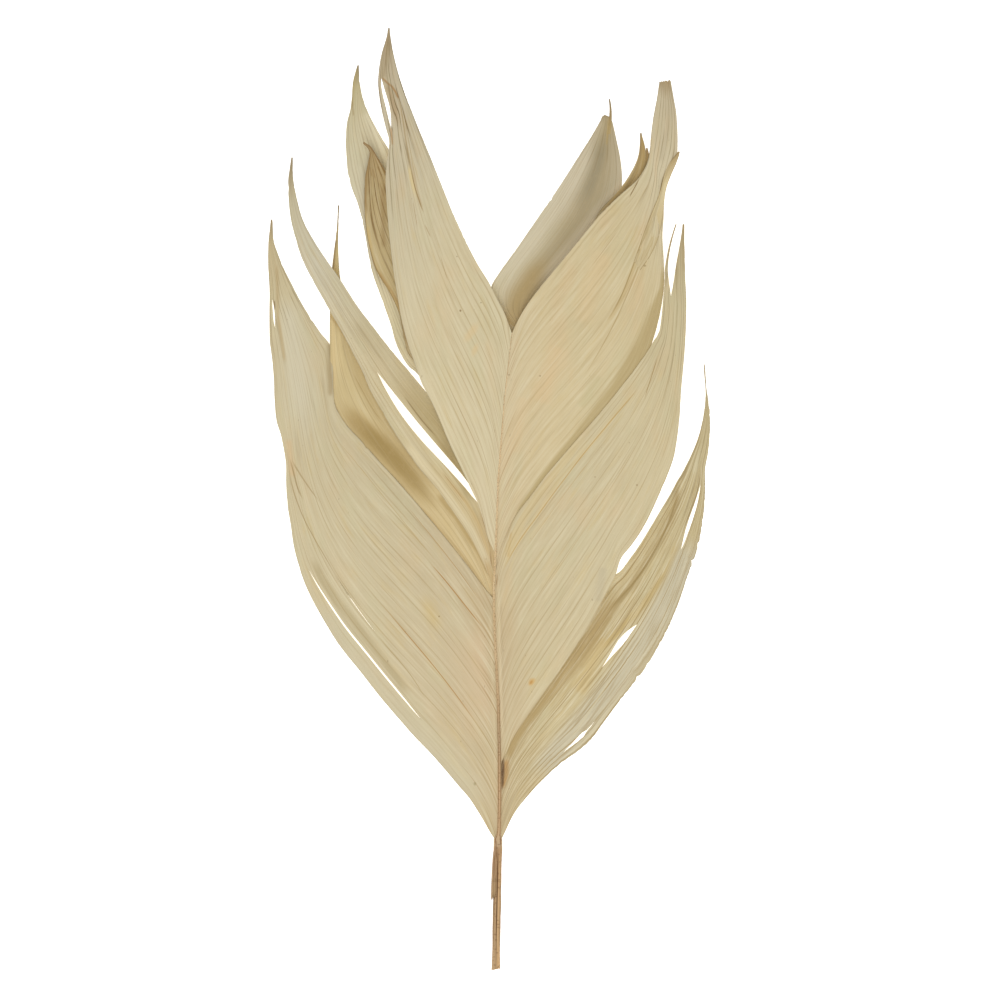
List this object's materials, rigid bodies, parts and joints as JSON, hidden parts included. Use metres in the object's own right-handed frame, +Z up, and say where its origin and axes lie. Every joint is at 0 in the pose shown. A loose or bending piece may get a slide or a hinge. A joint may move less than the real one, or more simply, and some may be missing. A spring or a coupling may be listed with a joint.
{
  "type": "dried guaricana palm leaf",
  "caption": "Dried palm leaf lying flat: a long stalk and midrib with a cream, pleated, feather-shaped blade of overlapping pointed leaflets.",
  "frame": {"origin": "on the surface that the leaf lies on, under the middle of its bounding box", "axes": "+Y from the cut stalk towards the leaflet tips, +Z up from the surface to the face of the leaf, +X towards the right side of the leaf as seen from above"},
  "size_m": [0.2879, 0.612, 0.0319],
  "materials": {
    "blade": "matte",
    "stalk": "satin"
  },
  "bodies": {
    "root": {"blade": "blade", "stalk": "stalk"}
  },
  "joints": []
}
